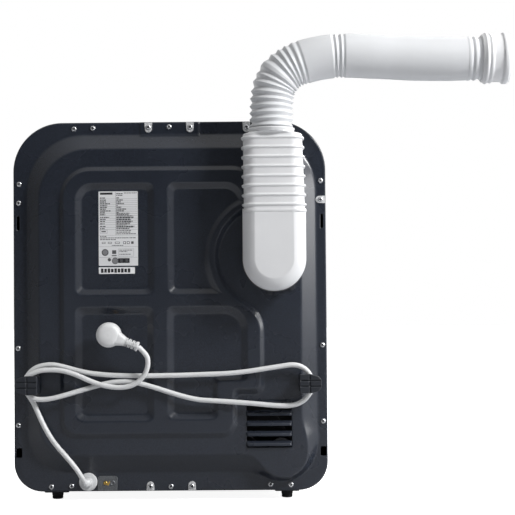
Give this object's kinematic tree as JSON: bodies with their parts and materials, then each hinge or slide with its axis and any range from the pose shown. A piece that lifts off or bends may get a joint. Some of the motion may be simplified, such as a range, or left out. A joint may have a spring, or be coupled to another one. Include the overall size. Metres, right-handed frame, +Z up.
{
  "type": "clothes dryer",
  "caption": "Compact vented clothes dryer seen from its ducted back: embossed dark steel panel, white exhaust elbow and hose, mains lead wound on cord hooks.",
  "frame": {"origin": "point on the floor under the middle of the cabinet, midway between the four feet", "axes": "+Z up; the door faces -Y and the ducted back faces +Y; +X to the right for someone facing the door"},
  "size_m": [0.7755, 0.4817, 0.7245],
  "materials": {
    "cabinet_paint": "satin graphite powder coat",
    "front_plastic": "satin",
    "fascia_plastic": "gloss",
    "white_plastic": "moulded satin",
    "hose_plastic": "soft satin",
    "grey_plastic": "moulded",
    "black_plastic": "moulded",
    "cord_pvc": "extruded",
    "galvanised": "zinc coated sheet",
    "drum_steel": "brushed",
    "zinc_bright": "bright zinc",
    "brass": "plain",
    "motor_paint": "painted",
    "alloy": "as extruded",
    "rubber_black": "matt",
    "seal_grey": "matt",
    "felt": "pressed felt",
    "window_glass": "tinted clear",
    "label_film": "printed film",
    "lens_green": "clear"
  },
  "bodies": {
    "cabinet": {"cabinet_wrap": "cabinet_paint", "rear_panel": "cabinet_paint", "base_pan": "galvanised", "front_panel": "front_plastic", "front_bulkhead": "galvanised", "drum_felt": "felt", "door_seal": "seal_grey", "rear_bulkhead": "galvanised", "shaft_bearings": "brass", "fan_housing": "galvanised", "outlet_collar": "grey_plastic", "cord_hooks": "black_plastic", "mounting_tabs": "galvanised", "rear_screws": "zinc_bright", "feet": "rubber_black", "foot_plates": "black_plastic", "rating_labels": "label_film", "cord_gland": "grey_plastic", "earth_plate": "galvanised", "earth_screw": "brass", "power_cord": "cord_pvc", "power_plug": "cord_pvc", "plug_pins": "brass", "motor_body": "motor_paint", "base_brackets": "galvanised", "drum_belt": "rubber_black", "fan_belt": "rubber_black", "heater_housing": "galvanised", "ptc_heater": "alloy", "thermostat": "alloy", "run_capacitor": "alloy", "timer_unit": "grey_plastic", "mode_switch": "grey_plastic", "control_panel": "fascia_plastic", "indicator_lens": "lens_green", "door_catch": "black_plastic", "door_hinge_bracket": "galvanised", "hinge_pin": "zinc_bright"},
    "door": {"door_frame": "front_plastic", "door_window": "window_glass", "door_inner_ring": "grey_plastic", "door_strike": "zinc_bright", "door_hinge_leaf": "galvanised"},
    "timer_knob": {"timer_knob": "grey_plastic"},
    "mode_knob": {"mode_knob": "grey_plastic"},
    "drum": {"drum_shell": "drum_steel", "drum_baffles": "grey_plastic", "drum_shaft": "zinc_bright"},
    "lint_filter": {"lint_filter": "grey_plastic"},
    "motor_rotor": {"motor_rotor": "galvanised", "motor_pulleys": "alloy"},
    "fan": {"fan_impeller": "black_plastic", "fan_shaft": "zinc_bright", "fan_pulley": "alloy"},
    "idler_arm": {"idler_arm": "galvanised"},
    "idler_pulley": {"idler_pulley": "black_plastic"},
    "vent": {"vent_elbow": "white_plastic", "vent_sleeve": "white_plastic", "exhaust_hose": "hose_plastic", "hose_cuff": "white_plastic"}
  },
  "joints": [
    {"name": "door_hinge", "type": "hinge", "parent": "cabinet", "child": "door", "pos_m": [-0.19, -0.204, 0.318], "axis": [0, 0, -1], "range_deg": [0, 120]},
    {"name": "timer_knob_turn", "type": "hinge", "parent": "cabinet", "child": "timer_knob", "pos_m": [0.15, -0.2, 0.543], "axis": [0, 1, 0], "range_deg": [0, 300]},
    {"name": "mode_knob_turn", "type": "hinge", "parent": "cabinet", "child": "mode_knob", "pos_m": [0.082, -0.2, 0.543], "axis": [0, 1, 0], "range_deg": [-45, 45]},
    {"name": "drum_spin", "type": "hinge", "parent": "cabinet", "child": "drum", "pos_m": [0, 0, 0.318], "axis": [0, 1, 0], "continuous": true},
    {"name": "motor_spin", "type": "hinge", "parent": "cabinet", "child": "motor_rotor", "pos_m": [-0.175, 0, 0.078], "axis": [0, 1, 0], "continuous": true},
    {"name": "fan_spin", "type": "hinge", "parent": "cabinet", "child": "fan", "pos_m": [0, 0.16, 0.318], "axis": [0, 1, 0], "continuous": true},
    {"name": "idler_swing", "type": "hinge", "parent": "cabinet", "child": "idler_arm", "pos_m": [-0.088, -0.0785, 0.044], "axis": [0, 1, 0], "range_deg": [0, 10], "stiffness_Nm_per_rad": 0.6, "springref_deg": -34.38},
    {"name": "idler_spin", "type": "hinge", "parent": "idler_arm", "child": "idler_pulley", "pos_m": [-0.121, -0.088, 0.071], "axis": [0, 1, 0], "continuous": true},
    {"name": "filter_pull", "type": "slide", "parent": "drum", "child": "lint_filter", "axis": [0, -1, 0], "range_m": [0, 0.15]},
    {"name": "vent_swivel", "type": "hinge", "parent": "cabinet", "child": "vent", "pos_m": [-0.1655, 0.2, 0.378], "axis": [0, 1, 0], "range_deg": [-90, 90]}
  ],
  "couplings": [
    {"joint": "motor_spin", "follows": "drum_spin", "ratio": 29.414},
    {"joint": "fan_spin", "follows": "drum_spin", "ratio": 13.617},
    {"joint": "idler_spin", "follows": "drum_spin", "ratio": 13.984}
  ]
}
